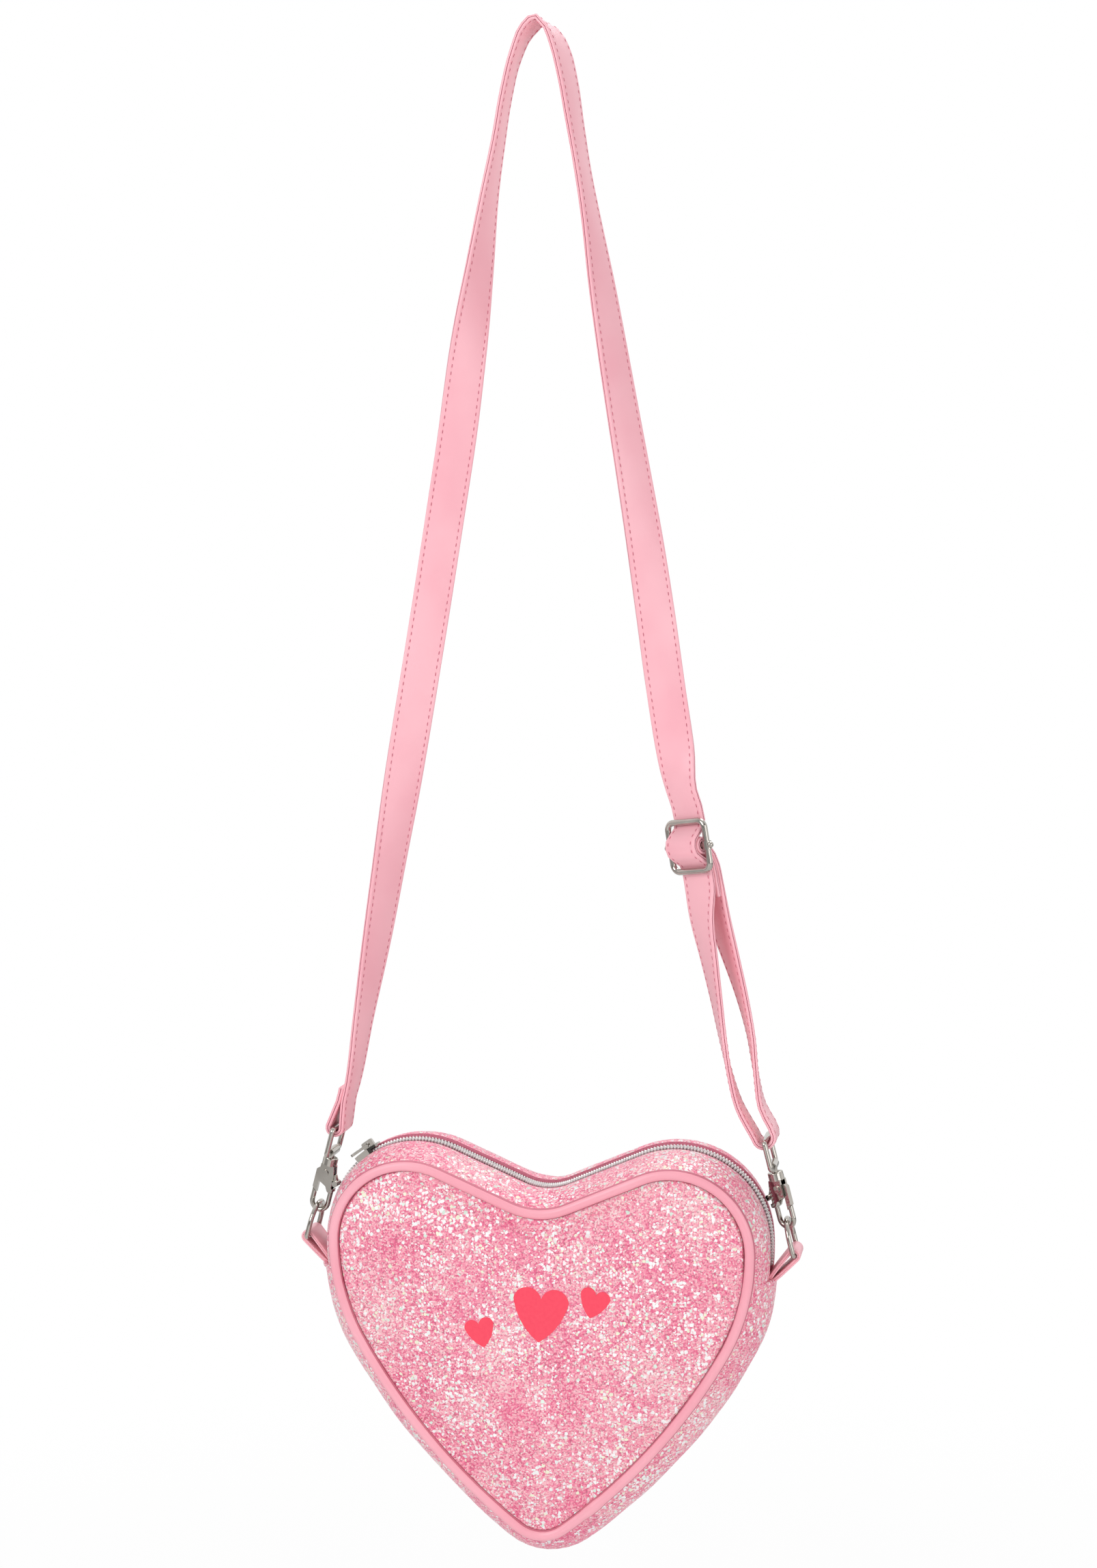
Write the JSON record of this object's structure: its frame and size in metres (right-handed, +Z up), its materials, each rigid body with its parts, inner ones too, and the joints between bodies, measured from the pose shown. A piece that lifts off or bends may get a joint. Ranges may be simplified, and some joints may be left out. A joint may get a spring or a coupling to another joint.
{
  "type": "heart shaped purse",
  "caption": "Small heart shaped shoulder purse with piped seams and a zipper over its lobes, hung on a long flat strap by swivel clasps and D rings.",
  "frame": {"origin": "the point under the strap where the purse hangs", "axes": "+Z up, +X to the right of someone facing the front, the front of the bag faces -Y"},
  "size_m": [0.2106, 0.0603, 0.626],
  "materials": {
    "strap_vinyl": "smooth leather-like plastic",
    "glitter_cloth": "glitter cloth",
    "piping_vinyl": "smooth leather-like plastic",
    "nickel": "polished nickel plate",
    "cord": "twisted cord",
    "foam": "soft foam",
    "lining_cloth": "plain weave",
    "zip_tape": "woven tape",
    "zip_coil": "metallised plastic coil",
    "zip_metal": "polished nickel plate",
    "spring_steel": "bare wire",
    "motif_vinyl": "flat vinyl"
  },
  "bodies": {
    "strap": {"shoulder_strap": "strap_vinyl", "buckle_frame": "nickel", "buckle_bar": "nickel", "left_clasp_loop": "nickel", "left_clasp_swivel": "nickel", "right_clasp_loop": "nickel", "right_clasp_swivel": "nickel"},
    "left_clasp": {"left_clasp_body": "nickel", "left_clasp_pin": "nickel", "left_clasp_spring": "spring_steel"},
    "left_lever": {"left_clasp_lever": "nickel"},
    "right_clasp": {"right_clasp_body": "nickel", "right_clasp_pin": "nickel", "right_clasp_spring": "spring_steel"},
    "right_lever": {"right_clasp_lever": "nickel"},
    "bag": {"front_panel": "glitter_cloth", "back_panel": "glitter_cloth", "front_stiffener": "foam", "back_stiffener": "foam", "front_lining": "lining_cloth", "back_lining": "lining_cloth", "gusset_lining": "lining_cloth", "bottom_gusset": "glitter_cloth", "zip_gusset_front": "glitter_cloth", "zip_gusset_rear": "glitter_cloth", "front_piping": "piping_vinyl", "front_piping_cord": "cord", "back_piping": "piping_vinyl", "back_piping_cord": "cord", "zipper_tape_front": "zip_tape", "zipper_tape_rear": "zip_tape", "zipper_coil_front": "zip_coil", "zipper_coil_rear": "zip_coil", "front_applique": "motif_vinyl", "left_tab": "strap_vinyl", "right_tab": "strap_vinyl"},
    "left_ring": {"left_d_ring": "nickel"},
    "right_ring": {"right_d_ring": "nickel"},
    "zip_slider": {"zip_slider": "zip_metal"},
    "zip_pull": {"zip_pull": "zip_metal"}
  },
  "joints": [
    {"name": "left_clasp_swivel", "type": "hinge", "parent": "strap", "child": "left_clasp", "pos_m": [-0.09422, 0, -0.46909], "axis": [0.2588, 0, 0.9659], "range_deg": [-28, 35]},
    {"name": "left_lever_pivot", "type": "hinge", "parent": "left_clasp", "child": "left_lever", "pos_m": [-0.0958, 0.00003, -0.47384], "axis": [-0.0842, -0.9962, 0.0226], "range_deg": [0, 22], "stiffness_Nm_per_rad": 0.02, "deforming": ["left_clasp_spring"]},
    {"name": "right_clasp_swivel", "type": "hinge", "parent": "strap", "child": "right_clasp", "pos_m": [0.09476, 0, -0.46895], "axis": [-0.2419, 0, 0.9703], "range_deg": [-2, 62]},
    {"name": "right_lever_pivot", "type": "hinge", "parent": "right_clasp", "child": "right_lever", "pos_m": [0.09621, -0.00016, -0.47374], "axis": [0.5142, 0.848, 0.1282], "range_deg": [0, 22], "stiffness_Nm_per_rad": 0.02, "deforming": ["right_clasp_spring"]},
    {"name": "bag_swing", "type": "hinge", "parent": "strap", "child": "bag", "pos_m": [0, 0, -0.48645], "axis": [1, 0, 0], "range_deg": [-10, 10]},
    {"name": "left_ring_turn", "type": "hinge", "parent": "bag", "child": "left_ring", "pos_m": [-0.1025, 0, -0.5], "axis": [0, 1, 0], "range_deg": [-2.5, 2.5]},
    {"name": "right_ring_turn", "type": "hinge", "parent": "bag", "child": "right_ring", "pos_m": [0.1025, 0, -0.5], "axis": [0, 1, 0], "range_deg": [-2.5, 2.5]},
    {"name": "zip_travel", "type": "hinge", "parent": "bag", "child": "zip_slider", "pos_m": [-0.0548, 0, -0.4963], "axis": [0, 1, 0], "range_deg": [0, 50], "deforming": ["zipper_coil_front", "zipper_coil_rear"]},
    {"name": "pull_flip", "type": "hinge", "parent": "zip_slider", "child": "zip_pull", "pos_m": [-0.07741, 0, -0.4614], "axis": [0, 1, 0], "range_deg": [0, 150]}
  ]
}
